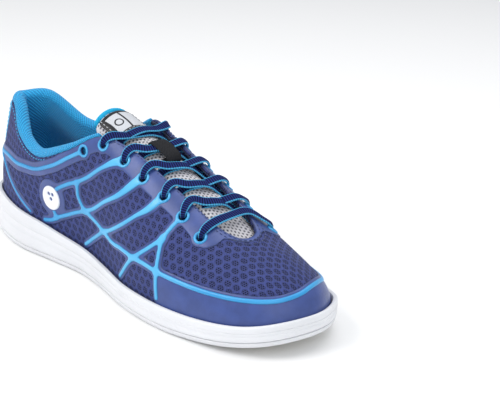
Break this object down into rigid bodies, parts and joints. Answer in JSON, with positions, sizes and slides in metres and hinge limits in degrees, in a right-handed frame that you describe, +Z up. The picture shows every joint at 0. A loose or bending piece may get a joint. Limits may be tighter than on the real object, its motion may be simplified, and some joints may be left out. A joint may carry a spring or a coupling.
{
  "type": "bowling shoe",
  "caption": "Low lace-up bowling shoe for a left foot: mesh upper with welded film web, padded collar, flat white sole with slide pad.",
  "frame": {"origin": "middle of the bounding box on the ground under the sole", "axes": "+X towards the toe, +Z up, -Y the arch (inner) side of a left shoe"},
  "size_m": [0.2758, 0.0974, 0.0997],
  "materials": {
    "slide_microfibre": "napped microfibre",
    "rubber_grey": "matte",
    "rubber_white": "satin",
    "eva_white": "moulded foam, matte",
    "shank_plastic": "glass-filled nylon",
    "fibreboard": "pressed fibre board",
    "lining_blue": "brushed knit",
    "counter_board": "thermoplastic board",
    "lining_navy": "knit",
    "foam": "open-cell foam",
    "film_navy": "welded film, soft sheen",
    "print_blue": "raised print",
    "print_white": "raised print",
    "patch_silver": "pearl film",
    "tongue_mesh": "spacer mesh",
    "tongue_top": "padded knit",
    "label_film": "printed film",
    "binding_blue": "woven tape",
    "keeper_black": "woven tape",
    "lace_navy": "flat woven lace",
    "aglet_clear": "clear sheath",
    "knit_mesh": "engineered mesh"
  },
  "bodies": {
    "shoe": {"slide_sole_pad": "slide_microfibre", "heel_pad": "rubber_grey", "outsole": "rubber_white", "midsole": "eva_white", "shank": "shank_plastic", "insole_board": "fibreboard", "heel_counter": "counter_board", "toe_puff": "counter_board", "vamp_lining": "lining_navy", "collar_lining": "lining_blue", "collar_foam": "foam", "eyestay_medial": "film_navy", "eyestay_lateral": "film_navy", "toe_cap": "film_navy", "web_medial": "print_blue", "web_lateral": "print_blue", "collar_stripe_medial": "print_blue", "collar_stripe_lateral": "print_blue", "toe_stripe": "print_blue", "ring_1_medial": "print_blue", "ring_6_medial": "print_blue", "ring_1_lateral": "print_blue", "ring_6_lateral": "print_blue", "emblem_medial": "print_white", "emblem_lateral": "print_white", "heel_patch": "patch_silver", "tongue_face": "tongue_mesh", "tongue_foam": "foam", "tongue_back": "lining_blue", "lace_keeper": "keeper_black", "lace": "lace_navy", "aglet_medial": "aglet_clear", "aglet_lateral": "aglet_clear", "vamp_mesh": "knit_mesh", "quarter_mesh_medial": "knit_mesh", "quarter_mesh_lateral": "knit_mesh"},
    "tongue_top": {"tongue_top_pad": "tongue_top", "tongue_label": "label_film", "tongue_binding": "binding_blue"},
    "footbed": {"footbed": "lining_blue"}
  },
  "joints": [
    {"name": "tongue_top_hinge", "type": "hinge", "parent": "shoe", "child": "tongue_top", "pos_m": [-0.00673, -0.00225, 0.0875], "axis": [0, 1, 0], "range_deg": [-4, 10], "stiffness_Nm_per_rad": 0.08},
    {"name": "footbed_lift", "type": "hinge", "parent": "shoe", "child": "footbed", "pos_m": [0.1243, 0, 0.0175], "axis": [0, 1, 0], "range_deg": [0, 4]}
  ]
}
